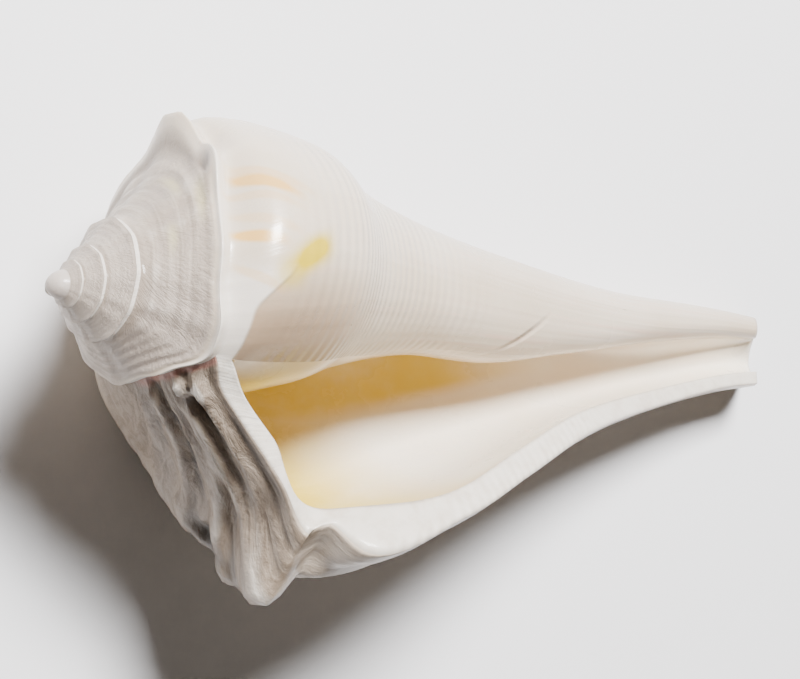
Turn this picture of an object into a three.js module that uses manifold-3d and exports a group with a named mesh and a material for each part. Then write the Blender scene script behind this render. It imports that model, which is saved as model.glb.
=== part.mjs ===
// A left-handed whelk shell, whole, lying on its back with the opening up.
// Lengths are millimetres, angles are degrees unless a name ends in Rad.
// The shell's own axis runs from the apex to the end of the canal. A point is
// given by its distance from the axis, its height along the axis and its
// azimuth; the azimuth grows with age, anticlockwise seen from the apex.

import * as THREE from 'three';
import Module from 'manifold-3d';

const wasm = await Module();
wasm.setup();

const RAD = Math.PI / 180;

// driving dimensions
const LENGTH = 140;          // along the axis, apex to canal end
const LIP_AZIMUTH = 35;      // mean azimuth of the free lip
const CONE = 44.7;           // half angle of the spire
const SHOULDER_AT_LIP = 44.4; // slant distance of the shoulder from the apex, at the lip
const TURNS = 4.25;
const CAVITY_DEPTH = 250;    // how far round the hollow is followed in from the lip
const GROOVE = 75;           // how far round the canal's groove goes in
const ATTACH_DROP = 0.09;    // the next turn is laid on just below the shoulder

// the canal leans to one side, and its end is cut slantwise
const CANAL_FROM = 104;
const CANAL_LEAN = 1.8;
const SLANT_FROM = 112;
const END_SLANT = 0.88;

// how it lies: turned about its axis, then nose down onto the canal end; the spots
// it lies on are worn flat
const LIE_ROLL = 5.85;
const LIE_PITCH = 13.25;
const WORN = 0.4;

// growth of the body with turns before the lip, as natural logarithm
const GROW_AT = [-6, -3.85, -2.85, -1.85, -1.4, -1, -0.75, -0.5, -0.25, 0, 0.2];
const GROW_LN = [-3.3, -2.334, -1.805, -1.342, -1.06, -0.8, -0.67, -0.423, -0.173, 0, 0.12];

// growth of the shoulder, by azimuth
const KEEL_AT = [-2125, -1350, -990, -630, -470, -400, -355, -331, -315, -300, -284, -270, -250, -225,
  -205, -180, -150, -120, -90, -60, -45, -30, -15, 0, 15, 35, 107];
const KEEL_LN = [-3.3, -2.36, -1.87, -1.43, -1.12, -1.04, -1, -0.985, -0.89, -0.74, -0.725, -0.745,
  -0.735, -0.65, -0.565, -0.455, -0.42, -0.42, -0.385, -0.33, -0.3, -0.21, -0.09, 0, 0.045, 0.02, 0.06];

// the body below the shoulder: radius and height at the lip, and how much of the
// growth each takes; farther in the wall turns in to make the columella
const BODY = [
  { r: 36.6, h: 38.5, a: 0.90, b: 0.88, from: -215, over: 150, keep: 0.74, wall: 4.0 },
  { r: 33.1, h: 54.4, a: 0.75, b: 0.64, from: -215, over: 150, keep: 0.62, wall: 4.2 },
  { r: 27.5, h: 67.6, a: 0.92, b: 0.60, from: -235, over: 135, keep: 0.62, wall: 4.2 },
  { r: 20.3, h: 83.8, a: 0.92, b: 0.48, from: -255, over: 110, keep: 0.52, wall: 3.9 },
  { r: 15.4, h: 97.9, a: 0.91, b: 0.32, from: -275, over: 95, keep: 0.76, wall: 3.3 },
  { r: 11.6, h: 113.2, a: 0.92, b: 0.23, from: -268, over: 88, keep: 0.50, wall: 2.7 },
  { r: 9.9, h: 127.4, a: 1.21, b: 0.09, from: -240, over: 75, keep: 0.06, wall: 2.4 },
  { r: 9.0, h: 138.8, a: 1.90, b: 0.01, from: -232, over: 75, keep: 0.05, wall: 2.3 },
  { r: 8.8, h: LENGTH, a: 1.96, b: 0, from: -232, over: 75, keep: 0.05, wall: 2.2 },
];

// place along the profile: 0 suture, 1 shoulder, 2 canal end
const KNOTS = [1, 1.045, 1.10, 1.22, 1.36, 1.52, 1.66, 1.80, 1.92, 1.985, 2];
const AT_ATTACH = KNOTS[1];
const AT_INNER = 1.085;
const IN_KNOTS = [0, 0.5, 1, ...KNOTS.slice(3)];

// azimuth of the lip's edge along the profile
const LIP_T = [0, 0.2, 0.45, 0.75, 1, 1.12, 1.3, 1.5, 1.7, 1.85, 2];
const LIP_DEG = [62, 48, 38, 31.5, 28, 34, 42, 44, 37, 33, 31];

// knobs of the last turn: azimuth, height, half width
const KNOBS = [[9, 6.6, 12], [-12, 1.6, 8], [-56, 0.7, 12], [-92, 1.2, 14], [-133, 0.5, 14],
  [-171, 4.4, 14], [-203, 2.6, 10], [-246, 0.9, 11], [-280, 0.6, 11]];
// growth folds of the last ramp: degrees behind the lip, height, half width
const FOLDS = [[17, 1.8, 3.2], [8.5, 0.7, 2.0], [27, 1.2, 3.0], [37, 0.9, 3.0], [49, 0.7, 3.2]];

// mesh
const PER_TURN = 48;
const ON_RAMP = 8;
const ON_EDGE = 2;
const ON_BODY = 22;
const INWARD = 20;

const clamp01 = (x) => Math.min(1, Math.max(0, x));
const smooth = (x) => { const c = clamp01(x); return c * c * (3 - 2 * c); };
const bell = (x) => Math.exp(-x * x);

// cubic curve through values at knots
function curve(at, values, x) {
  const n = at.length;
  let i = 0;
  while (i < n - 2 && x >= at[i + 1]) i += 1;
  const slope = (k) => {
    if (k === 0) return (values[1] - values[0]) / (at[1] - at[0]);
    if (k === n - 1) return (values[k] - values[k - 1]) / (at[k] - at[k - 1]);
    const d0 = at[k] - at[k - 1];
    const d1 = at[k + 1] - at[k];
    return ((values[k] - values[k - 1]) / d0 * d1 + (values[k + 1] - values[k]) / d1 * d0) / (d0 + d1);
  };
  const d = at[i + 1] - at[i];
  const u = (x - at[i]) / d;
  const u2 = u * u;
  const u3 = u2 * u;
  return (2 * u3 - 3 * u2 + 1) * values[i] + (u3 - 2 * u2 + u) * d * slope(i)
    + (3 * u2 - 2 * u3) * values[i + 1] + (u3 - u2) * d * slope(i + 1);
}

const lipAzimuth = (t) => curve(LIP_T, LIP_DEG, t);
const growth = (azimuth) => curve(GROW_AT, GROW_LN, (azimuth - LIP_AZIMUTH) / 360);

function shoulder(azimuth) {
  const slant = SHOULDER_AT_LIP * Math.exp(curve(KEEL_AT, KEEL_LN, azimuth));
  return [slant * Math.sin(CONE * RAD), slant * Math.cos(CONE * RAD)];
}

function attachment(azimuth) {
  const [r, h] = shoulder(azimuth);
  return [r * 0.985, h + ATTACH_DROP * r];
}

function bodyRows(azimuth) {
  const g = growth(azimuth);
  const [kr, kh] = shoulder(azimuth);
  const [ar, ah] = attachment(azimuth);
  const rows = [[kr, kh], [ar, ah]];
  for (const row of BODY) {
    const turnIn = 1 - (1 - row.keep) * smooth((row.from - azimuth) / row.over);
    rows.push([row.r * Math.exp(row.a * g) * turnIn, row.h * Math.exp(row.b * g)]);
  }
  return rows;
}

function body(t, azimuth) {
  const rows = bodyRows(azimuth);
  return [0, 1].map((k) => curve(KNOTS, rows.map((row) => row[k]), t));
}

function ramp(u, azimuth) {
  const [r0, h0] = attachment(azimuth - 360);
  const [r1, h1] = shoulder(azimuth);
  const sag = 0.055 * Math.hypot(r1 - r0, h1 - h0) * 4 * u * (1 - u);
  return [r0 + (r1 - r0) * u - sag * Math.cos(CONE * RAD), h0 + (h1 - h0) * u + sag * Math.sin(CONE * RAD)];
}

function knobHeight(azimuth) {
  let height = 0;
  for (const [at, tall, half] of KNOBS) height += tall * bell((azimuth - at) / half);
  const early = smooth((-290 - azimuth) / 25);
  const wave = (0.5 + 0.5 * Math.cos(azimuth * RAD * 10)) ** 2;
  return height + early * 0.9 * Math.exp(curve(KEEL_AT, KEEL_LN, azimuth)) * wave;
}

function foldHeight(t, azimuth) {
  const behind = lipAzimuth(t) - azimuth;
  let height = 0;
  for (const [at, tall, half] of FOLDS) height += tall * bell((behind - at) / half);
  return height * smooth(t / 0.12) * (t < 1 ? 1 : bell((t - 1) / 0.07));
}

function outside(t, azimuth) {
  const [r, h] = t < 1 ? ramp(t, azimuth) : body(t, azimuth);
  const knob = knobHeight(azimuth) * bell((t - 1) / (t < 1 ? 0.13 : 0.09));
  const fold = foldHeight(t, azimuth);
  const out = t < 1 ? 0.25 : 0.9;
  const up = t < 1 ? 0.9 : 0.1;
  return [r + 0.985 * knob + out * fold, h - 0.17 * knob - up * fold];
}

function inside(t, azimuth) {
  const wall = Math.exp(0.45 * growth(azimuth));
  const rows = bodyRows(azimuth);
  const [qr, qh] = body(AT_INNER, azimuth - 360);
  const [sr, sh] = [rows[0][0] - 3.2 * wall, rows[0][1] + 4.6 * wall];
  const pts = [[qr, qh], [(qr + sr) / 2 - 0.3 * wall, (qh + sh) / 2 + 0.2 * wall], [sr, sh]];
  for (let n = 1; n < BODY.length; n += 1) pts.push([rows[n + 2][0] - BODY[n].wall * wall, rows[n + 2][1]]);
  return [0, 1].map((k) => curve(IN_KNOTS, pts.map((p) => p[k]), t));
}

// lower end of the hollow, along the profile, and how it closes there
const hollowEnd = (back) => (back > -GROOVE ? 2 + (back + GROOVE) * RAD * 0.5
  : 2 - 0.55 * smooth((-GROOVE - back) / 110));
function openness(t, back) {
  const x = clamp01((hollowEnd(back) - t) / 0.20);
  return Math.sqrt(Math.max(0, 1 - (1 - x) ** 2));
}

// points of the mesh, x along the axis, azimuth 0 toward -y, azimuth 90 toward +z
const points = [];
const faces = [];
function addPoint([r, h], azimuth) {
  const lean = CANAL_LEAN * smooth((h - CANAL_FROM) / (LENGTH - CANAL_FROM));
  const z = r * Math.sin(azimuth * RAD);
  const slant = END_SLANT * z * smooth((h - SLANT_FROM) / (LENGTH - SLANT_FROM));
  points.push([h - slant, lean - r * Math.cos(azimuth * RAD), z]);
  return points.length - 1;
}
function addRaw(p) { points.push(p); return points.length - 1; }
function addTriangle(a, b, c) { if (a !== b && b !== c && c !== a) faces.push([a, c, b]); }
function addSheet(first, second, flip) {
  for (let i = 0; i < first.length - 1; i += 1) {
    const [a, b, c, d] = [first[i], second[i], second[i + 1], first[i + 1]];
    if (flip) { addTriangle(a, d, c); addTriangle(a, c, b); } else { addTriangle(a, b, c); addTriangle(a, c, d); }
  }
}
const steps = (n, f) => Array.from({ length: n }, (_, i) => f((i + 1) / n));

const T = [0, ...steps(ON_RAMP, (x) => 1 - (1 - x) ** 1.35), AT_ATTACH,
  ...steps(ON_EDGE, (x) => AT_ATTACH + (AT_INNER - AT_ATTACH) * x),
  ...steps(ON_BODY, (x) => AT_INNER + (2 - AT_INNER) * (1 - (1 - x) ** 1.15))];
const ATT = ON_RAMP + 1;
const INN = ATT + ON_EDGE;
const END = INN + ON_BODY;
const LAST = Math.round(TURNS * PER_TURN);

// the stations near the lip swing round to meet its edge, and those a turn
// earlier swing with them where the lip is laid on
const lead = T.map((t) => lipAzimuth(t) - LIP_AZIMUTH);
const swing = (j) => smooth(1 - Math.abs(j - LAST) * 360 / PER_TURN / 80);
const rise = T.map((t) => smooth((t - 0.45) / (AT_ATTACH - 0.45)) * (1 - smooth((t - AT_INNER - 0.15) / 0.5)));
const azimuthAt = (j, i) => LIP_AZIMUTH + (j - LAST) * 360 / PER_TURN
  + lead[i] * swing(j) + lead[0] * swing(j + PER_TURN) * rise[i];

// outer surface
const outer = [];
for (let j = 0; j <= LAST; j += 1) {
  const column = [];
  const end = j >= LAST - PER_TURN ? END : ATT;
  for (let i = 0; i <= end; i += 1) {
    if (i === 0 && j >= PER_TURN) column.push(outer[j - PER_TURN][ATT]);
    else column.push(addPoint(outside(T[i], azimuthAt(j, i)), azimuthAt(j, i)));
  }
  outer.push(column);
}
for (let j = 0; j < LAST; j += 1) {
  const n = Math.min(outer[j].length, outer[j + 1].length);
  addSheet(outer[j].slice(0, n), outer[j + 1].slice(0, n), false);
}

// hollow: the inner side of the wall, and the columella with the wall of the turn before
const backs = [0, ...steps(INWARD, (x) => -CAVITY_DEPTH * x ** 1.25)];
let groove = 0;
backs.forEach((b, n) => { if (Math.abs(b + GROOVE) < Math.abs(backs[groove] + GROOVE)) groove = n; });
backs[groove] = -GROOVE;
const wallColumns = [];
const coreColumns = [];
backs.forEach((back, n) => {
  const closed = back <= -GROOVE + 1e-9;
  const end = Math.min(hollowEnd(back), 2);
  const coreT = T.slice(INN).map((t) => AT_INNER + (t - AT_INNER) * (end - AT_INNER) / (2 - AT_INNER));
  const coreAz = T.slice(INN).map((_, m) => azimuthAt(LAST - PER_TURN, INN + m) + 360 + back);
  const core = n === 0 ? outer[LAST - PER_TURN].slice(INN)
    : coreT.map((t, m) => addPoint(body(t, coreAz[m] - 360), coreAz[m]));
  const wall = [core[0]];
  for (let i = 1; i <= END; i += 1) {
    if (closed && i === END) { wall.push(core[core.length - 1]); break; }
    const t = T[i] < 1 ? T[i] : 1 + (T[i] - 1) * (end - 1);
    const open = openness(Math.max(t, 1), back);
    let azimuth = azimuthAt(LAST, i) + back;
    if (t > 1 && closed) {
      let m = 0;
      while (m < coreT.length - 2 && coreT[m + 1] < t) m += 1;
      const u = clamp01((t - coreT[m]) / (coreT[m + 1] - coreT[m]));
      const beside = coreAz[m] + (coreAz[m + 1] - coreAz[m]) * u;
      azimuth = beside + (azimuth - beside) * open;
    }
    const free = inside(t, azimuth);
    const laid = body(Math.max(t, AT_INNER), azimuth - 360);
    const p = t < 1 ? free : [laid[0] + (free[0] - laid[0]) * open, laid[1] + (free[1] - laid[1]) * open];
    wall.push(addPoint(p, azimuth));
  }
  wallColumns.push(wall);
  coreColumns.push(core);
});
for (let n = 0; n < INWARD; n += 1) {
  addSheet(wallColumns[n], wallColumns[n + 1], false);
  addSheet(coreColumns[n], coreColumns[n + 1], true);
}

// rounded face of the lip
const lipRows = [outer[LAST]];
for (let q = 1; q < ON_EDGE; q += 1) {
  const c = q / ON_EDGE;
  const row = [outer[LAST - PER_TURN][ATT + q]];
  for (let i = 1; i <= END; i += 1) {
    const a = new THREE.Vector3(...points[outer[LAST][i]]);
    const b = new THREE.Vector3(...points[wallColumns[0][i]]);
    const azimuth = azimuthAt(LAST, i) * RAD;
    const bulge = 0.08 * a.distanceTo(b) * (1 - (2 * c - 1) ** 6) * smooth(i / 4) * smooth((END - i) / 3);
    const p = a.lerp(b, c).add(new THREE.Vector3(0, Math.sin(azimuth), Math.cos(azimuth)).multiplyScalar(bulge));
    row.push(addRaw(p.toArray()));
  }
  lipRows.push(row);
}
lipRows.push(wallColumns[0]);
for (let q = 0; q < ON_EDGE; q += 1) addSheet(lipRows[q], lipRows[q + 1], false);

// flat end of the canal
const rim = [];
for (let j = LAST - PER_TURN; j <= LAST; j += 1) rim.push(outer[j][END]);
for (let q = 1; q < ON_EDGE; q += 1) rim.push(lipRows[q][END]);
for (let n = 0; n <= groove; n += 1) rim.push(wallColumns[n][END]);
for (let n = groove - 1; n > 0; n -= 1) rim.push(coreColumns[n][ON_BODY]);
const rimFlat = rim.map((v) => new THREE.Vector2(points[v][1], points[v][2]));
const turned = THREE.ShapeUtils.isClockWise(rimFlat);
for (const [a, b, c] of THREE.ShapeUtils.triangulateShape(rimFlat, [])) {
  const area = (rimFlat[b].x - rimFlat[a].x) * (rimFlat[c].y - rimFlat[a].y)
    - (rimFlat[b].y - rimFlat[a].y) * (rimFlat[c].x - rimFlat[a].x);
  if ((area < 0) === turned) addTriangle(rim[a], rim[b], rim[c]);
  else addTriangle(rim[a], rim[c], rim[b]);
}

// deep end of the hollow
const deep = [...wallColumns[INWARD], ...coreColumns[INWARD].slice(1, -1).reverse()];
const middle = (ring) => ring.reduce((s, v) => s.map((x, k) => x + points[v][k] / ring.length), [0, 0, 0]);
const deepCentre = addRaw(middle(deep));
deep.forEach((v, n) => addTriangle(v, deepCentre, deep[(n + 1) % deep.length]));

// rounded apex
let ring = [];
for (let j = 0; j <= PER_TURN; j += 1) ring.push(outer[j][0]);
for (let i = ATT - 1; i > 0; i -= 1) ring.push(outer[0][i]);
const base = ring.map((v) => points[v]);
const top = Math.min(...base.map((p) => p[0])) - 1.6;
const centre = middle(ring);
for (const s of [0.82, 0.6, 0.35]) {
  const rounded = (1 - Math.sqrt(1 - (s * 0.97) ** 2)) / (1 - Math.sqrt(1 - 0.97 ** 2));
  const next = base.map((p) => addRaw([top + (p[0] - top) * rounded,
    centre[1] + (p[1] - centre[1]) * s, centre[2] + (p[2] - centre[2]) * s]));
  for (let i = 0; i < ring.length; i += 1) {
    const k = (i + 1) % ring.length;
    addTriangle(ring[k], ring[i], next[i]);
    addTriangle(ring[k], next[i], next[k]);
  }
  ring = next;
}
const tip = addRaw([top, centre[1], centre[2]]);
ring.forEach((v, n) => addTriangle(ring[(n + 1) % ring.length], v, tip));

// lay it down, centre it over its footprint and wear the spots that touch
const lie = new THREE.Matrix4().makeRotationY(LIE_PITCH * RAD)
  .multiply(new THREE.Matrix4().makeRotationX(LIE_ROLL * RAD));
const laidPoints = points.map((p) => new THREE.Vector3(...p).applyMatrix4(lie));
const box = new THREE.Box3().setFromPoints(laidPoints);
const shift = new THREE.Vector3((box.min.x + box.max.x) / 2, (box.min.y + box.max.y) / 2, box.min.z + WORN);
laidPoints.forEach((p) => p.sub(shift));

function solidFrom(positions, triangles) {
  return new wasm.Manifold(new wasm.Mesh({
    numProp: 3, vertProperties: Float32Array.from(positions), triVerts: Uint32Array.from(triangles),
  }));
}
const grown = solidFrom(laidPoints.flatMap((p) => p.toArray()), faces.flat());

// the block below the surface it lies on
const block = new THREE.BoxGeometry(2 * LENGTH, 2 * LENGTH, 20).translate(0, 0, -10);
const corners = [];
const cornerOf = [];
const blockAt = block.getAttribute('position');
for (let n = 0; n < blockAt.count; n += 1) {
  const p = new THREE.Vector3().fromBufferAttribute(blockAt, n);
  let k = corners.findIndex((q) => q.distanceTo(p) < 1e-6);
  if (k < 0) k = corners.push(p) - 1;
  cornerOf.push(k);
}
const table = solidFrom(corners.flatMap((p) => p.toArray()), Array.from(block.index.array, (n) => cornerOf[n]));

const worn = grown.subtract(table).getMesh();
const geometry = new THREE.BufferGeometry();
geometry.setAttribute('position', new THREE.Float32BufferAttribute(worn.vertProperties, 3));
geometry.setIndex(Array.from(worn.triVerts));

const shell = new THREE.Mesh(geometry, new THREE.MeshStandardMaterial({
  color: 0xe6ded0, roughness: 0.38, metalness: 0,
}));
shell.name = 'shell';

const group = new THREE.Group();
group.add(shell);

export default group;
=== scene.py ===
import bpy
import numpy as np
from mathutils import Matrix, Vector


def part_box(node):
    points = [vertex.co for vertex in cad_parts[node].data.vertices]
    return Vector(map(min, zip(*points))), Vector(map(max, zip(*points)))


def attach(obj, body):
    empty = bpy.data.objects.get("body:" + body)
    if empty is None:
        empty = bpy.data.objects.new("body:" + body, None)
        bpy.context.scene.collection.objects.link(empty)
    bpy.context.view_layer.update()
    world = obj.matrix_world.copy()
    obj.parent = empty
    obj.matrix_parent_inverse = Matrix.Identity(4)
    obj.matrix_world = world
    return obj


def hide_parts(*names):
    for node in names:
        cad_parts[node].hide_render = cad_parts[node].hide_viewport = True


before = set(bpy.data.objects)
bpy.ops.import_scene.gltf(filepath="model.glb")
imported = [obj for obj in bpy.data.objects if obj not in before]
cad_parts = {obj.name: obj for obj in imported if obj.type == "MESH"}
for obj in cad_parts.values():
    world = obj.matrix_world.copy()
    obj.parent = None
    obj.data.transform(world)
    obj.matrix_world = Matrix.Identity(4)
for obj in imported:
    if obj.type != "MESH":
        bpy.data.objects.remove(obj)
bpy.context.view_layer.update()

# driving dimensions, in millimetres and radians, the same as in the CAD source
TURN = 2 * np.pi
RAD = np.pi / 180
LENGTH = 140.0
LIP_AZIMUTH = 35 * RAD
CONE = 44.7 * RAD
SHOULDER_AT_LIP = 44.4
TURNS = 4.25
CAVITY_DEPTH = 250 * RAD
CANAL_FROM, CANAL_LEAN = 104.0, 1.8
SLANT_FROM, END_SLANT = 112.0, 0.88
GROOVE = 75 * RAD
ATTACH_DROP = 0.09
LIE_ROLL = 5.85 * RAD
LIE_PITCH = 13.25 * RAD

GROW_AT = np.array([-6, -3.85, -2.85, -1.85, -1.4, -1, -0.75, -0.5, -0.25, 0, 0.2])
GROW_LN = np.array([-3.3, -2.334, -1.805, -1.342, -1.06, -0.8, -0.67, -0.423, -0.173, 0, 0.12])
KEEL_AT = RAD * np.array([-2125.0, -1350, -990, -630, -470, -400, -355, -331, -315, -300, -284, -270,
                          -250, -225, -205, -180, -150, -120, -90, -60, -45, -30, -15, 0, 15, 35, 107])
KEEL_LN = np.array([-3.3, -2.36, -1.87, -1.43, -1.12, -1.04, -1, -0.985, -0.89, -0.74, -0.725, -0.745,
                    -0.735, -0.65, -0.565, -0.455, -0.42, -0.42, -0.385, -0.33, -0.3, -0.21, -0.09, 0,
                    0.045, 0.02, 0.06])

# the body below the shoulder: radius, height, their shares of the growth, where the
# wall turns in to the columella and how far, and the thickness of the wall
BODY = [
    (36.6, 38.5, 0.90, 0.88, -215, 150, 0.74, 4.0),
    (33.1, 54.4, 0.75, 0.64, -215, 150, 0.62, 4.2),
    (27.5, 67.6, 0.92, 0.60, -235, 135, 0.62, 4.2),
    (20.3, 83.8, 0.92, 0.48, -255, 110, 0.52, 3.9),
    (15.4, 97.9, 0.91, 0.32, -275, 95, 0.76, 3.3),
    (11.6, 113.2, 0.92, 0.23, -268, 88, 0.50, 2.7),
    (9.9, 127.4, 1.21, 0.09, -240, 75, 0.06, 2.4),
    (9.0, 138.8, 1.90, 0.01, -232, 75, 0.05, 2.3),
    (8.8, LENGTH, 1.96, 0.0, -232, 75, 0.05, 2.2),
]
KNOTS = np.array([1, 1.045, 1.10, 1.22, 1.36, 1.52, 1.66, 1.80, 1.92, 1.985, 2.0])
AT_ATTACH = KNOTS[1]
AT_INNER = 1.085
IN_KNOTS = np.concatenate([[0, 0.5, 1.0], KNOTS[3:]])
LIP_T = np.array([0, 0.2, 0.45, 0.75, 1, 1.12, 1.3, 1.5, 1.7, 1.85, 2.0])
LIP_DEG = np.array([62, 48, 38, 31.5, 28, 34, 42, 44, 37, 33, 31]) * RAD
KNOBS = [(9, 6.6, 12), (-12, 1.6, 8), (-56, 0.7, 12), (-92, 1.2, 14), (-133, 0.5, 14),
         (-171, 4.4, 14), (-203, 2.6, 10), (-246, 0.9, 11), (-280, 0.6, 11)]
FOLDS = [(17, 1.8, 3.2), (8.5, 0.7, 2.0), (27, 1.2, 3.0), (37, 0.9, 3.0), (49, 0.7, 3.2)]
# a small knob, a pit beside it, a recess by the shoulder and one low on the left: height,
# turn, half width in turns, place along the profile and half width there
SPOTS = [
    (1.0, 0.107, 0.012, 0.16, 0.07),
    (-1.1, 0.085, 0.010, 0.20, 0.07),
    (-1.3, -0.556, 0.016, 0.90, 0.035),
    (-2.0, -0.009, 0.014, 0.95, 0.05),
]

# fineness of the shown mesh
PER_TURN = 208
ON_RAMP = 26
ON_EDGE_OUT = 2
ON_EDGE = 8
ON_BODY = 92
INWARD = 84
TIP_RINGS = (0.93, 0.82, 0.7, 0.55, 0.4, 0.22)

# what a face of the shell belongs to
OUTER, WALL, CORE, LIP_FACE, TIP = 0, 1, 2, 3, 4

# camera of the photo, in millimetres and in the shell's own axes
CAMERA_AT = np.array([-152.5, -3.2, 224.9])
CAMERA_FORWARD = np.array([0.6863, 0.0, -0.7273])
CAMERA_UP = np.array([-0.0583, 0.9968, -0.055])
LENS, SENSOR = 99.0, 36.0

# one soft key light and a weak warm fill; places and sizes in metres
KEY_AT, KEY_AIM = (-0.03, 0.35, 0.60), (0, 0, 0.02)
KEY_SIZE, KEY_WATTS = (0.24, 0.20), 21
FILL_COLOUR, FILL_STRENGTH = (1, 0.93, 0.85, 1), 0.10
FLOOR_HALF = 2


def smooth(x):
    x = np.clip(x, 0, 1)
    return x * x * (3 - 2 * x)


def bell(x):
    return np.exp(-x * x)


# cubic curve through values at knots
def curve(at, values, x):
    values = [np.asarray(v, float) for v in values]
    n = len(at)
    x = np.asarray(x, float)
    m = [(values[1] - values[0]) / (at[1] - at[0])]
    for i in range(1, n - 1):
        d0, d1 = at[i] - at[i - 1], at[i + 1] - at[i]
        m.append(((values[i] - values[i - 1]) / d0 * d1 + (values[i + 1] - values[i]) / d1 * d0) / (d0 + d1))
    m.append((values[-1] - values[-2]) / (at[-1] - at[-2]))
    shape = np.broadcast_shapes(x.shape, *[v.shape for v in values])
    out = np.zeros(shape)
    x = np.broadcast_to(x, shape)
    for i in range(n - 1):
        inside = ((x >= at[i]) | (i == 0)) & ((x < at[i + 1]) | (i == n - 2))
        d = at[i + 1] - at[i]
        u = (x - at[i]) / d
        v = ((2 * u**3 - 3 * u**2 + 1) * values[i] + (u**3 - 2 * u**2 + u) * d * m[i]
             + (3 * u**2 - 2 * u**3) * values[i + 1] + (u**3 - u**2) * d * m[i + 1])
        out = np.where(inside, v, out)
    return out


def lip_azimuth(t):
    return curve(LIP_T, LIP_DEG, t)


def behind_lip(t, azimuth):
    return (lip_azimuth(np.clip(t, 0, 2)) - azimuth) / RAD


def growth(azimuth):
    return curve(GROW_AT, GROW_LN, (azimuth - LIP_AZIMUTH) / TURN)


# size of the turn, as a share of that at the lip
def keel_scale(azimuth):
    return np.exp(curve(KEEL_AT, KEEL_LN, azimuth))


def shoulder(azimuth):
    slant = SHOULDER_AT_LIP * keel_scale(azimuth)
    return slant * np.sin(CONE), slant * np.cos(CONE)


def attachment(azimuth):
    r, h = shoulder(azimuth)
    return r * 0.985, h + ATTACH_DROP * r


def body_rows(azimuth):
    g = growth(azimuth)
    kr, kh = shoulder(azimuth)
    ar, ah = attachment(azimuth)
    rs, hs = [kr, ar], [kh, ah]
    for r, h, a, b, start, over, keep, wall in BODY:
        turn_in = 1 - (1 - keep) * smooth((start * RAD - azimuth) / (over * RAD))
        rs.append(r * np.exp(a * g) * turn_in)
        hs.append(h * np.exp(b * g))
    return rs, hs


def body(t, azimuth):
    rs, hs = body_rows(azimuth)
    return curve(KNOTS, rs, t), curve(KNOTS, hs, t)


def ramp(u, azimuth):
    r0, h0 = attachment(azimuth - TURN)
    r1, h1 = shoulder(azimuth)
    sag = 0.055 * np.hypot(r1 - r0, h1 - h0) * 4 * u * (1 - u)
    return r0 + (r1 - r0) * u - sag * np.cos(CONE), h0 + (h1 - h0) * u + sag * np.sin(CONE)


def knob_height(azimuth):
    height = 0 * azimuth
    for at, tall, half in KNOBS:
        height = height + tall * bell((azimuth - at * RAD) / (half * RAD))
    early = smooth((-290 * RAD - azimuth) / (25 * RAD))
    wave = (0.5 + 0.5 * np.cos(azimuth * 10)) ** 2
    return height + early * 0.9 * keel_scale(azimuth) * wave


def fold_height(t, azimuth):
    behind = behind_lip(t, azimuth)
    height = 0 * behind
    for at, tall, half in FOLDS:
        height = height + tall * bell((behind - at) / half)
    return height * smooth(t / 0.12) * np.where(t < 1, 1.0, bell((t - 1) / 0.045))


# fine relief that is too small for the solid: spiral cords, waves across the older ramp,
# wrinkles behind the lip, and a small knob, pits and a recess
def fine_relief(t, azimuth):
    behind = behind_lip(t, azimuth)
    old = smooth((behind - 60) / 60)
    cords = np.where(t < 1, np.cos(TURN * 5.5 * t + 0.5 * np.sin(azimuth * 3)), 0.0)
    cords = cords * smooth(t / 0.1) * smooth((1 - t) / 0.12) * (0.25 + 0.75 * old)
    waves = np.where(t < 1, np.cos(azimuth * 13 + 1.2 * np.sin(azimuth * 5) + 1.5 * t), 0.0)
    waves = waves * smooth(t / 0.2) * smooth((1 - t) / 0.2) * old
    lines = (np.sin(behind * 0.52 + 1.6 * np.sin(behind * 0.11) + 2.2 * np.sin(3.1 * t + 0.6))
             + 0.7 * np.sin(behind * 0.97 + 2 * np.sin(behind * 0.07) + 2.6 * np.sin(4.3 * t) + 1.1)
             + 0.5 * np.sin(behind * 1.31 + 3.0 * np.sin(5.7 * t + 2.0)) * np.sin(9 * t + behind * 0.2))
    rough = smooth((70 - behind) / 40) * np.where(t < 1, 1.0, smooth((1.32 - t) / 0.25))
    edge = smooth(behind / 3.5)
    young = 0.25 + 0.75 * smooth((azimuth / TURN + 1.7) / 0.7)
    amount = 0.20 * cords * young + 0.22 * waves + (0.03 + 0.34 * rough) * lines
    amount = amount * keel_scale(azimuth)
    for height, turn, wide, at, tall in SPOTS:
        amount = amount + height * bell((azimuth / TURN - turn) / wide) * bell((t - at) / tall)
    return amount * edge * smooth((t - 0.02) / 0.05)


def outside(t, azimuth):
    t = np.asarray(t, float)
    rr, hr = ramp(np.clip(t, 0, 1), azimuth)
    rb, hb = body(np.maximum(t, 1), azimuth)
    knob = knob_height(azimuth) * bell((t - 1) / np.where(t < 1, 0.13, 0.075))
    behind = behind_lip(t, azimuth)
    knob = knob * np.where(t < 1, 1.0, smooth((behind + 2) / 14))
    fold = fold_height(t, azimuth)
    fine = fine_relief(t, azimuth)
    out = np.where(t < 1, 0.25, 0.9)
    up = np.where(t < 1, 0.9, 0.1)
    lean = smooth((t - 0.85) / 0.3)
    fine_out, fine_up = 0.71 + 0.25 * lean, 0.70 * (1 - lean)
    r = np.where(t < 1, rr, rb) + 0.985 * knob + out * fold + fine_out * fine
    h = np.where(t < 1, hr, hb) - 0.17 * knob - up * fold - fine_up * fine
    return r, h


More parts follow.
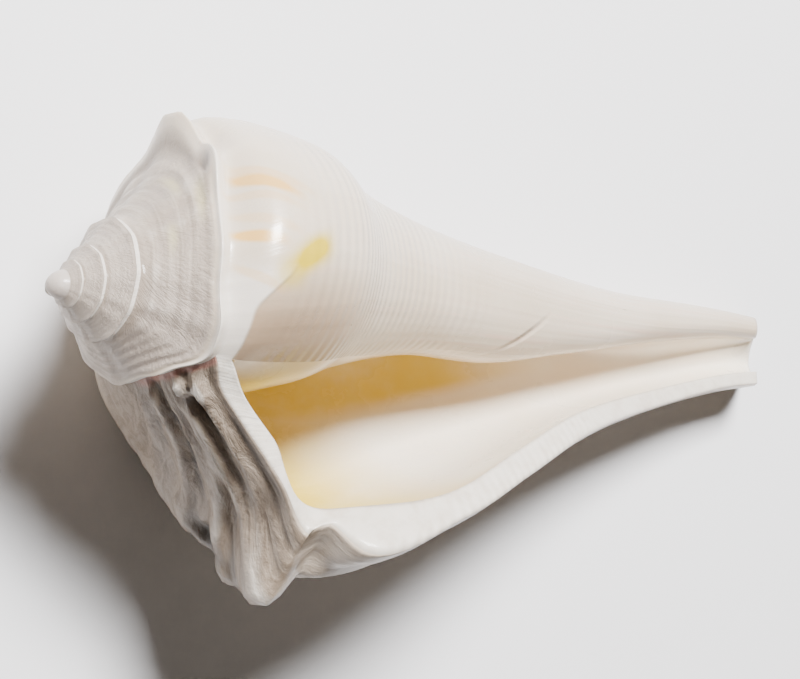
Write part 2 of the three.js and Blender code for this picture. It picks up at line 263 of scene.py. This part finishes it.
def inside(t, azimuth):
    wall = np.exp(0.45 * growth(azimuth))
    rs, hs = body_rows(azimuth)
    qr, qh = body(np.array(AT_INNER), azimuth - TURN)
    sr, sh = rs[0] - 3.2 * wall, hs[0] + 4.6 * wall
    pr = [qr, (qr + sr) / 2 - 0.3 * wall, sr]
    ph = [qh, (qh + sh) / 2 + 0.2 * wall, sh]
    for n in range(1, len(BODY)):
        pr.append(rs[n + 2] - BODY[n][7] * wall)
        ph.append(hs[n + 2])
    return curve(IN_KNOTS, pr, t), curve(IN_KNOTS, ph, t)


def hollow_end(back):
    return np.where(back > -GROOVE, 2 + (back + GROOVE) * 0.5,
                    2 - 0.55 * smooth((-GROOVE - back) / (110 * RAD)))


def openness(t, back):
    x = np.clip((hollow_end(back) - t) / 0.20, 0, 1)
    return np.sqrt(np.maximum(0, 1 - (1 - x) ** 2))


def place(r, h, azimuth):
    lean = CANAL_LEAN * smooth((h - CANAL_FROM) / (LENGTH - CANAL_FROM))
    z = r * np.sin(azimuth)
    slant = END_SLANT * z * smooth((h - SLANT_FROM) / (LENGTH - SLANT_FROM))
    return np.stack(np.broadcast_arrays(h - slant, lean - r * np.cos(azimuth), z), -1)


class Sheets:
    """Points and faces of the shell, with the place of each face corner on it."""

    def __init__(self):
        self.points, self.count = [], 0
        self.faces, self.corners = [], []

    def add(self, p):
        p = np.asarray(p, float).reshape(-1, 3)
        self.points.append(p)
        self.count += len(p)
        return np.arange(self.count - len(p), self.count)

    # two grids of the same shape: point numbers and, for each, t, azimuth and kind
    def grid(self, ids, t, azimuth, kind, flip=False):
        info = np.stack(np.broadcast_arrays(t, azimuth, np.full(ids.shape, float(kind))), -1)
        pick = [(slice(0, -1), slice(0, -1)), (slice(0, -1), slice(1, None)),
                (slice(1, None), slice(1, None)), (slice(1, None), slice(0, -1))]
        if flip:
            pick = pick[::-1]
        f = np.stack([ids[p].ravel() for p in pick], 1)
        c = np.stack([info[p].reshape(-1, 3) for p in pick], 1)
        for face, corner in zip(f.tolist(), c):
            keep = [k for k in range(4) if face[k] != face[k - 1]]
            if len(keep) > 2:
                self.faces.append([face[k] for k in keep])
                self.corners.append(corner[keep])

    def face(self, ids, info):
        self.faces.append([int(v) for v in ids])
        self.corners.append(np.asarray(info, float))


def grow_shell():
    s = Sheets()
    att = ON_RAMP + ON_EDGE_OUT
    inn = att + ON_EDGE
    end = inn + ON_BODY
    x = np.linspace(0, 1, ON_BODY + 1)[1:]
    T = np.concatenate([
        1 - (1 - np.linspace(0, 1, ON_RAMP + 1)) ** 1.35,
        np.linspace(1, AT_ATTACH, ON_EDGE_OUT + 1)[1:],
        np.linspace(AT_ATTACH, AT_INNER, ON_EDGE + 1)[1:],
        AT_INNER + (2 - AT_INNER) * (1 - (1 - x) ** 1.15)])
    last = int(round(TURNS * PER_TURN))
    step = TURN / PER_TURN
    lead = lip_azimuth(T) - LIP_AZIMUTH
    rise = smooth((T - 0.45) / (AT_ATTACH - 0.45)) * (1 - smooth((T - AT_INNER - 0.15) / 0.5))

    def swing(j):
        return smooth(1 - np.abs(j - last) * step / (80 * RAD))

    def azimuth_at(j):
        return (LIP_AZIMUTH + (j - last) * step + lead * swing(j)
                + lead[0] * swing(j + PER_TURN) * rise)

    # outer surface
    j = np.arange(last + 1)[:, None]
    az = azimuth_at(j)
    r, h = outside(np.broadcast_to(T, az.shape), az)
    P = place(r, h, az)
    ids = -np.ones(az.shape, int)
    for n in range(last + 1):
        stop = end if n >= last - PER_TURN else att
        start = 1 if n >= PER_TURN else 0
        ids[n, start:stop + 1] = s.add(P[n, start:stop + 1])
        if n >= PER_TURN:
            ids[n, 0] = ids[n - PER_TURN, att]
    TT = np.broadcast_to(T, az.shape)
    split = last - PER_TURN
    s.grid(ids[:split + 1, :att + 1], TT[:split + 1, :att + 1], az[:split + 1, :att + 1], OUTER)
    s.grid(ids[split:], TT[split:], az[split:], OUTER)

    # hollow
    g = -CAVITY_DEPTH * np.linspace(0, 1, INWARD + 1) ** 1.25
    k = int(np.argmin(abs(g + GROOVE)))
    g[k] = -GROOVE
    a0, p0 = az[last], az[split][inn:] + TURN
    wall_ids, core_ids, wall_t, wall_az, core_t, core_az = [], [], [], [], [], []
    for n, gg in enumerate(g):
        floor = float(hollow_end(np.array(gg)))
        closed = gg <= -GROOVE + 1e-9
        floor = min(floor, 2.0)
        tp = AT_INNER + (T[inn:] - AT_INNER) * (floor - AT_INNER) / (2 - AT_INNER)
        ap = p0 + gg
        if n == 0:
            core = ids[split, inn:]
        else:
            rc, hc = body(tp, ap - TURN)
            core = s.add(place(rc, hc, ap))
        ti = np.where(T < 1, T, 1 + (T - 1) * (floor - 1))
        f = openness(np.maximum(ti, 1), gg)
        beside = np.interp(ti, tp, ap)
        ai = a0 + gg
        ai = np.where(ti <= 1, ai, beside + (ai - beside) * np.where(closed, f, 1))
        ri, hi = inside(ti, ai)
        rl, hl = body(np.maximum(ti, AT_INNER), ai - TURN)
        rr = np.where(ti < 1, ri, rl + (ri - rl) * f)
        hh = np.where(ti < 1, hi, hl + (hi - hl) * f)
        stop = end if closed else end + 1
        wall = np.empty(end + 1, int)
        wall[0] = core[0]
        wall[1:stop] = s.add(place(rr, hh, ai)[1:stop])
        if closed:
            wall[end] = core[-1]
        wall_ids.append(wall)
        core_ids.append(core)
        wall_t.append(ti)
        wall_az.append(ai)
        core_t.append(tp)
        core_az.append(ap)
    s.grid(np.array(wall_ids), np.array(wall_t), np.array(wall_az), WALL)
    s.grid(np.array(core_ids), np.array(core_t), np.array(core_az), CORE, True)

    # rounded face of the lip
    V = np.concatenate(s.points)
    ea, ia = V[ids[last]], V[wall_ids[0]]
    forward = np.stack([0 * a0, np.sin(a0), np.cos(a0)], -1)
    thick = np.linalg.norm(ia - ea, axis=1)
    index = np.arange(end + 1)
    rows = [ids[last]]
    for q in range(1, ON_EDGE):
        c = q / ON_EDGE
        fade = smooth(index / (0.5 * ON_RAMP)) * smooth((end - index) / 8)
        bulge = (1 - (2 * c - 1) ** 6) * 0.08 * thick * fade
        new = s.add((ea + (ia - ea) * c + forward * bulge[:, None])[1:])
        rows.append(np.concatenate([[ids[split, att + q]], new]))
    rows.append(wall_ids[0])
    s.grid(np.array(rows), np.broadcast_to(T, (ON_EDGE + 1, end + 1)),
           np.broadcast_to(a0, (ON_EDGE + 1, end + 1)), LIP_FACE)

    # flat end of the canal
    ring = ([int(v) for v in ids[split:last + 1, end]] + [int(rows[q][end]) for q in range(1, ON_EDGE)]
            + [int(wall_ids[n][end]) for n in range(k + 1)]
            + [int(core_ids[n][-1]) for n in range(k - 1, 0, -1)])
    s.face(ring[::-1], [(2.0, LIP_AZIMUTH, LIP_FACE)] * len(ring))

    # deep end of the hollow
    V = np.concatenate(s.points)
    deep = [int(v) for v in list(wall_ids[-1]) + list(core_ids[-1][::-1][1:-1])]
    c = int(s.add(V[deep].mean(0))[0])
    for a, b in zip(deep, deep[1:] + deep[:1]):
        s.face((c, a, b), [(1.5, -3.0, WALL)] * 3)

    # rounded apex
    loop = [int(v) for v in list(ids[:PER_TURN + 1, 0]) + list(ids[0, :att + 1][::-1][1:-1])]
    base = V[loop]
    top = base[:, 0].min() - 1.6
    centre = base.mean(0)
    rim = loop
    for size in TIP_RINGS:
        low = (1 - np.sqrt(1 - (size * 0.97) ** 2)) / (1 - np.sqrt(1 - 0.97**2))
        q = np.stack([top + (base[:, 0] - top) * low, centre[1] + (base[:, 1] - centre[1]) * size,
                      centre[2] + (base[:, 2] - centre[2]) * size], -1)
        new = [int(v) for v in s.add(q)]
        for i in range(len(loop)):
            b = (i + 1) % len(loop)
            s.face((rim[i], rim[b], new[b], new[i]), [(0.2, -26.0, TIP)] * 4)
        rim = new
    c = int(s.add([top, centre[1], centre[2]])[0])
    for a, b in zip(rim, rim[1:] + rim[:1]):
        s.face((a, b, c), [(0.2, -26.0, TIP)] * 3)
    return np.concatenate(s.points), s.faces, s.corners


def lie_down(points):
    cp, sp, cr, sr = np.cos(LIE_PITCH), np.sin(LIE_PITCH), np.cos(LIE_ROLL), np.sin(LIE_ROLL)
    pitch = np.array([[cp, 0, sp], [0, 1, 0], [-sp, 0, cp]])
    roll = np.array([[1, 0, 0], [0, cr, -sr], [0, sr, cr]])
    return points @ (pitch @ roll).T


# metres from the laid shell to the box of its node: centred on it, with the tops level
def box_shift(laid):
    lo, hi = (np.array(v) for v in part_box("shell"))
    return np.array([(lo[0] + hi[0]) / 2 - (laid[:, 0].min() + laid[:, 0].max()) / 2,
                     (lo[1] + hi[1]) / 2 - (laid[:, 1].min() + laid[:, 1].max()) / 2,
                     hi[2] - laid[:, 2].max()])


def make_shell(laid, shift, faces, corners, material):
    lo, hi = (np.array(v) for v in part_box("shell"))
    points = np.clip(laid + shift, lo, hi)
    mesh = bpy.data.meshes.new("shell_surface")
    mesh.from_pydata(points.tolist(), [], faces)
    info = np.concatenate(corners)
    t, azimuth, kind = info.T
    fields = {
        "along": t,
        "turns": azimuth / TURN,
        "behind": behind_lip(t, azimuth) / 90,
        "relief": (fine_relief(t, azimuth) + 0.5 * fold_height(t, azimuth)) * (kind == OUTER),
        "hollow": (kind == WALL).astype(float),
        "core": (kind == CORE).astype(float),
        "lip": (kind == LIP_FACE).astype(float),
        "tip": (kind == TIP).astype(float),
    }
    for name, values in fields.items():
        a = mesh.attributes.new(name, "FLOAT", "CORNER")
        a.data.foreach_set("value", values.astype(np.float32))
    mesh.materials.append(material)
    mesh.validate()
    mesh.update()
    for p in mesh.polygons:
        p.use_smooth = True
    obj = bpy.data.objects.new("shell_grown", mesh)
    bpy.context.scene.collection.objects.link(obj)
    return obj


def plain_material(name, colour, roughness):
    m = bpy.data.materials.new(name)
    m.use_nodes = True
    b = m.node_tree.nodes["Principled BSDF"]
    b.inputs["Base Color"].default_value = (*colour, 1)
    b.inputs["Roughness"].default_value = roughness
    return m


class Nodes:
    """Short ways to add nodes to a material."""

    def __init__(self, tree):
        self.tree = tree

    def link(self, value, socket):
        if hasattr(value, "is_output"):
            self.tree.links.new(value, socket)
        else:
            socket.default_value = value

    def field(self, name):
        n = self.tree.nodes.new("ShaderNodeAttribute")
        n.attribute_name = name
        return n.outputs["Fac"]

    def math(self, operation, a, b=0.0, c=0.0):
        n = self.tree.nodes.new("ShaderNodeMath")
        n.operation = operation
        for k, v in enumerate((a, b, c)):
            self.link(v, n.inputs[k])
        return n.outputs[0]

    def add(self, *values):
        out = values[0]
        for v in values[1:]:
            out = self.math("ADD", out, v)
        return out

    def less(self, a, b):
        return self.math("SUBTRACT", a, b)

    # the product of all values
    def both(self, *values):
        out = values[0]
        for v in values[1:]:
            out = self.math("MULTIPLY", out, v)
        return out

    # 0 below low, 1 above high, or the other way round where low is above high
    def band(self, value, low, high):
        n = self.tree.nodes.new("ShaderNodeMapRange")
        n.interpolation_type = "SMOOTHSTEP"
        self.link(value, n.inputs["Value"])
        flip = low > high
        n.inputs["From Min"].default_value = min(low, high)
        n.inputs["From Max"].default_value = max(low, high)
        n.inputs["To Min"].default_value = 1.0 if flip else 0.0
        n.inputs["To Max"].default_value = 0.0 if flip else 1.0
        return n.outputs[0]

    # 1 near the centre, 0 farther than the half width
    def near(self, value, centre, half):
        return self.band(self.math("ABSOLUTE", self.less(value, centre)), half, 0.0)

    def noise(self, vector, scale, detail=4.0, rough=0.55, distortion=0.0):
        n = self.tree.nodes.new("ShaderNodeTexNoise")
        self.link(vector, n.inputs["Vector"])
        n.inputs["Scale"].default_value = scale
        n.inputs["Detail"].default_value = detail
        n.inputs["Roughness"].default_value = rough
        n.inputs["Distortion"].default_value = distortion
        return n.outputs["Fac"]

    def vector(self, x, y, z=0.0):
        n = self.tree.nodes.new("ShaderNodeCombineXYZ")
        for k, v in enumerate((x, y, z)):
            self.link(v, n.inputs[k])
        return n.outputs[0]

    def mix(self, factor, a, b):
        n = self.tree.nodes.new("ShaderNodeMix")
        n.data_type = "RGBA"
        self.link(factor, n.inputs["Factor"])
        for v, k in ((a, "A"), (b, "B")):
            socket = [x for x in n.inputs if x.name == k and x.type == "RGBA"][0]
            self.link((*v, 1.0) if isinstance(v, tuple) else v, socket)
        return [x for x in n.outputs if x.type == "RGBA"][0]


def shell_material():
    m = bpy.data.materials.new("shell_material")
    m.use_nodes = True
    g = Nodes(m.node_tree)
    b = m.node_tree.nodes["Principled BSDF"]
    along, turns, behind = g.field("along"), g.field("turns"), g.field("behind")
    relief, hollow, core = g.field("relief"), g.field("hollow"), g.field("core")
    lip, tip = g.field("lip"), g.field("tip")
    outside_only = g.less(1.0, g.add(hollow, core))
    place_at = m.node_tree.nodes.new("ShaderNodeTexCoord").outputs["Object"]
    blotch = g.noise(place_at, 60, 5)
    patch = g.noise(place_at, 24, 3, 0.5, 0.4)
    fine = g.noise(place_at, 420, 6, 0.65)

    # growth lines run along the profile, spiral bands run round the axis
    lines = g.noise(g.vector(g.both(behind, 14.0), g.both(along, 3.0)), 2.0, 5, 0.7, 0.8)
    spiral = g.noise(g.vector(g.both(along, 10.0), g.both(turns, 3.0)), 1.0, 3, 0.55, 0.3)
    streaks = g.noise(g.vector(g.both(behind, 9.0), g.both(along, 2.5)), 1.6, 3, 0.5, 0.3)

    white, warm, pinkish = (0.65, 0.55, 0.44), (0.54, 0.43, 0.31), (0.58, 0.40, 0.31)
    grey, olive = (0.29, 0.23, 0.18), (0.52, 0.45, 0.22)
    outer = g.mix(g.band(patch, 0.35, 0.70), white, warm)
    outer = g.mix(g.both(g.band(streaks, 0.56, 0.75), 0.35), outer, pinkish)

    # the ramp: grey bands, painted shade in its hollows, pale raised patches that are partly a painted
    # highlight on the ridges, cleaner near the last shoulder
    older = g.band(turns, -0.95, -1.02)
    clean = g.both(g.band(along, 0.86, 0.97), g.less(1.0, g.both(older, 0.8)))
    covered = g.less(along, g.both(older, 0.06))
    on_ramp = g.both(g.band(covered, 1.01, 0.99), g.less(1.0, clean))
    ramp = g.mix(g.band(spiral, 0.40, 0.60), (0.44, 0.36, 0.29), grey)
    # painted shade: darker in the hollows of the ramp
    ramp = g.mix(g.both(g.band(relief, 0.10, -0.30), 0.6), ramp, (0.28, 0.22, 0.18))
    # pale patches on the raised parts, partly a painted highlight on the ridges
    pale = g.both(g.band(blotch, 0.52, 0.68), g.band(relief, 0.0, 0.2), 0.5)
    ramp = g.mix(pale, ramp, (0.74, 0.68, 0.60))
    for centre, at in ((-0.525, 0.587), (-0.641, 0.414), (-0.60, 0.80)):
        spot = g.both(g.near(turns, centre, 0.05), g.near(along, at, 0.10), g.band(blotch, 0.40, 0.62))
        ramp = g.mix(g.both(spot, 0.75), ramp, olive)
    dull = g.both(g.band(turns, -0.58, -0.82), g.band(turns, -1.02, -0.95), 0.5)
    ramp = g.mix(dull, ramp, (0.38, 0.31, 0.27))
    outer = g.mix(g.both(on_ramp, 0.9), outer, ramp)
    outer = g.mix(g.both(g.band(turns, -1.05, -1.6), 0.5), outer, (0.48, 0.40, 0.34))

    # the front part of the last turn is stained grey brown and partly darkened as painted shade, with
    # painted shade in its hollows and a painted highlight on its ridges
    front = g.both(g.band(behind, 1.25, 0.60), g.band(along, 1.34, 1.05), g.band(behind, 0.0, 0.012))
    stain_and_painted_light = g.mix(g.band(lines, 0.40, 0.62), (0.32, 0.25, 0.19), (0.19, 0.14, 0.10))
    # painted shade: very dark in the hollows
    stain_and_painted_light = g.mix(g.band(relief, 0.10, -0.45), stain_and_painted_light, (0.11, 0.08, 0.055))
    # painted highlight: lighter on the ridges
    stain_and_painted_light = g.mix(g.both(g.band(relief, 0.55, 1.3), 0.75), stain_and_painted_light, (0.74, 0.68, 0.61))
    outer = g.mix(g.both(front, 0.92), outer, stain_and_painted_light)

    # the flank just below the lip is darkened grey brown with growth lines, as painted shade
    flank_shade = g.both(g.band(behind, 0.75, 0.20), g.band(along, 1.0, 1.06), g.band(along, 1.85, 1.40),
                   g.band(behind, 0.0, 0.012))
    stain_and_painted_light = g.mix(g.band(lines, 0.4, 0.65), (0.50, 0.42, 0.34), (0.34, 0.27, 0.21))
    outer = g.mix(g.both(flank_shade, 0.88), outer, stain_and_painted_light)

    # pink line of the seam where the last turn is laid on
    seam = g.both(g.near(along, 0.02, 0.05), g.band(turns, 0.02, 0.05), outside_only)
    outer = g.mix(g.both(seam, 0.7), outer, (0.42, 0.17, 0.13))

    # painted shade: dark spots in the dimples between the knobs beside the older seams
    dimple_shade = g.both(g.near(along, 0.05, 0.14), g.band(turns, -0.50, -0.62), g.band(blotch, 0.50, 0.62))
    outer = g.mix(g.both(dimple_shade, 0.65), outer, (0.26, 0.20, 0.15))

    # pits and recesses darkened as painted shade, and a small dark dot on the canal: turn, half width, place
    # along the profile, half width
    for centre, wide, at, tall, colour, much in (
            # painted shade in the recess by the shoulder
            (-0.558, 0.014, 0.93, 0.045, (0.16, 0.11, 0.08), 0.85),
            # painted shadow, near black, in the pit low on the left between the knobs
            (-0.009, 0.022, 0.96, 0.07, (0.02, 0.015, 0.01), 0.95),
            # painted shade in the pit beside the small knob
            (0.083, 0.010, 0.21, 0.07, (0.20, 0.15, 0.12), 0.7),
            # a small dark dot on the canal, the shell's own mark
            (-0.631, 0.003, 1.828, 0.005, (0.25, 0.17, 0.12), 0.8)):
        outer = g.mix(g.both(g.near(turns, centre, wide), g.near(along, at, tall), much), outer, colour)

    # pinkish lines toward the neck
    neck = g.both(g.band(streaks, 0.5, 0.72), g.band(along, 1.35, 1.6), 0.28)
    outer = g.mix(neck, outer, (0.74, 0.50, 0.40))

    # thick glossy callus: the shoulder in front and the glaze up to a curved edge
    keel = g.both(g.near(along, 1.0, 0.075), g.band(turns, -0.535, -0.575), g.band(turns, -0.90, -0.85))
    edge_at = g.add(1.088, g.both(g.band(turns, -0.765, -0.70), 0.045))
    glaze = g.both(g.band(g.less(along, edge_at), 0.004, -0.004), g.band(along, 0.99, 1.0),
                   g.band(turns, -0.69, -0.73))
    outer = g.mix(g.both(g.math("MAXIMUM", keel, glaze), 0.85), outer, (0.77, 0.70, 0.62))
    # painted shade: the parietal wall between the glaze and the aperture is darkened brown
    beside = g.both(g.less(1.0, glaze), g.band(turns, -0.68, -0.78), g.band(along, 1.07, 1.09),
                    g.band(along, 1.42, 1.18), outside_only)
    outer = g.mix(g.both(beside, 0.8), outer, (0.34, 0.22, 0.13))

    # orange streaks and yellow blotches on the body below the shoulder: turn, half width,
    # slope, place along the profile, half length, colour, strength
    orange, yellow = (0.74, 0.40, 0.06), (0.58, 0.42, 0.005)
    for turn, wide, slope, at, tall, colour, much in (
            (-0.6135, 0.01105, 0.5, 1.093, 0.0630, orange, 0.75),
            (-0.6050, 0.00850, 0.5, 1.100, 0.0750, orange, 0.30),
            (-0.6280, 0.00765, 0.4, 1.085, 0.0750, orange, 0.25),
            (-0.6755, 0.01020, 0.25, 1.080, 0.0480, orange, 0.80),
            (-0.6580, 0.00850, 0.4, 1.090, 0.0675, orange, 0.22),
            (-0.6960, 0.02550, -0.4, 1.148, 0.0390, yellow, 0.95),
            (-0.7150, 0.02550, 0, 1.125, 0.0300, yellow, 0.45),
            (-0.7210, 0.00850, 0.4, 1.085, 0.0450, orange, 0.30)):
        line = g.add(turns, g.both(g.less(along, at), slope))
        spot = g.both(g.near(line, turn, wide), g.near(along, at, tall), g.band(blotch, 0.0, 0.45))
        outer = g.mix(g.math("MINIMUM", g.both(spot, 2.0 * much), much), outer, colour)

    # crease of the columella fold, darkened as painted shade
    crease_line = g.less(turns, g.both(g.less(along, 1.624), 1.8))
    crease = g.both(g.near(crease_line, -0.835, 0.02), g.near(along, 1.655, 0.05), outside_only)
    outer = g.mix(g.both(crease, 0.35), outer, (0.50, 0.36, 0.27))

    # inside: orange yellow in the corner and by the columella, cream toward the lip
    corner = g.band(along, 1.38, 1.20)
    deep = g.math("MAXIMUM", corner, g.both(g.band(behind, 0.90, 1.03), g.band(along, 1.72, 1.50)))
    inner = g.mix(g.band(blotch, 0.35, 0.75), (0.88, 0.80, 0.68), (0.85, 0.74, 0.60))
    inner = g.mix(g.both(deep, g.band(blotch, 0.0, 0.55), 0.95), inner, (0.72, 0.52, 0.04))
    inner = g.mix(g.both(g.band(behind, 1.05, 1.7), 0.8), inner, (0.66, 0.43, 0.07))
    pillar = g.mix(g.band(behind, 4.02, 4.25), (0.78, 0.62, 0.44), (0.70, 0.47, 0.14))
    colour = g.mix(hollow, outer, inner)
    colour = g.mix(core, colour, pillar)
    colour = g.mix(lip, colour, g.mix(g.band(fine, 0.4, 0.7), (0.68, 0.62, 0.54), (0.60, 0.53, 0.45)))
    colour = g.mix(g.both(tip, 0.6), colour, (0.50, 0.44, 0.40))
    g.link(colour, b.inputs["Base Color"])

    # gloss: glazed body and inside, chalky ramp and cut lip
    rough = g.add(0.26, g.both(on_ramp, 0.24), g.both(g.band(blotch, 0.35, 0.8), 0.12),
                  g.both(lip, 0.24), g.both(front, 0.10), g.both(keel, -0.12))
    g.link(rough, b.inputs["Roughness"])
    b.inputs["Coat Weight"].default_value = 0.3
    b.inputs["Coat Roughness"].default_value = 0.15
    b.inputs["Subsurface Weight"].default_value = 0.10
    b.inputs["Subsurface Radius"].default_value = (1.0, 0.7, 0.45)
    b.inputs["Subsurface Scale"].default_value = 0.002

    # fine relief: threads round the axis on the body, growth lines, wavy glaze, grain
    threads = g.math("SINE", g.both(along, 400.0))
    on_body = g.both(g.band(along, 1.10, 1.2), g.band(along, 1.66, 1.40), outside_only)
    lump = g.noise(place_at, 190, 2, 0.4)
    chalky = g.add(on_ramp, front)
    height = g.add(
        g.both(threads, on_body, g.add(0.04, g.both(blotch, 0.26))),
        g.both(lines, chalky, 0.75), g.both(lines, outside_only, 0.10),
        g.both(lump, g.add(0.10, g.both(keel, 1.3))),
        g.both(fine, chalky, 0.5), g.both(fine, 0.08), g.both(glaze, 0.5), g.both(crease, -0.9))
    bump = m.node_tree.nodes.new("ShaderNodeBump")
    bump.inputs["Strength"].default_value = 0.6
    bump.inputs["Distance"].default_value = 0.0006
    g.link(height, bump.inputs["Height"])
    g.link(bump.outputs[0], b.inputs["Normal"])
    return m


def add_floor():
    h = FLOOR_HALF
    mesh = bpy.data.meshes.new("floor")
    mesh.from_pydata([(-h, -h, 0), (h, -h, 0), (h, h, 0), (-h, h, 0)], [], [(0, 1, 2, 3)])
    mesh.materials.append(plain_material("floor_paper", (0.80, 0.79, 0.80), 0.7))
    floor = bpy.data.objects.new("floor", mesh)
    bpy.context.scene.collection.objects.link(floor)


# the camera of the photo, carried along with the shell as it lies down
def add_camera(shift):
    at, forward, up = lie_down(np.stack([CAMERA_AT, CAMERA_FORWARD, CAMERA_UP]))
    at = at / 1000 + shift
    z = -Vector(forward).normalized()
    x = Vector(up).cross(z).normalized()
    y = z.cross(x)
    data = bpy.data.cameras.new("camera")
    data.lens = LENS
    data.sensor_width = SENSOR
    cam = bpy.data.objects.new("camera", data)
    cam.matrix_world = Matrix([(x[n], y[n], z[n], at[n]) for n in range(3)] + [(0, 0, 0, 1)])
    bpy.context.scene.collection.objects.link(cam)
    bpy.context.scene.camera = cam


def add_light():
    world = bpy.data.worlds.new("studio")
    world.use_nodes = True
    fill = world.node_tree.nodes["Background"]
    fill.inputs["Color"].default_value = FILL_COLOUR
    fill.inputs["Strength"].default_value = FILL_STRENGTH
    bpy.context.scene.world = world
    area = bpy.data.lights.new("key", "AREA")
    area.shape = "RECTANGLE"
    area.size, area.size_y = KEY_SIZE
    area.energy = KEY_WATTS
    key = bpy.data.objects.new("key", area)
    key.location = KEY_AT
    key.rotation_mode = "QUATERNION"
    key.rotation_quaternion = (Vector(KEY_AIM) - Vector(KEY_AT)).to_track_quat("-Z", "Y")
    bpy.context.scene.collection.objects.link(key)


def main():
    points, faces, corners = grow_shell()
    laid = lie_down(points) / 1000
    shift = box_shift(laid)
    shell = make_shell(laid, shift, faces, corners, shell_material())
    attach(shell, "root")
    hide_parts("shell")
    add_floor()
    add_camera(shift)
    add_light()


main()
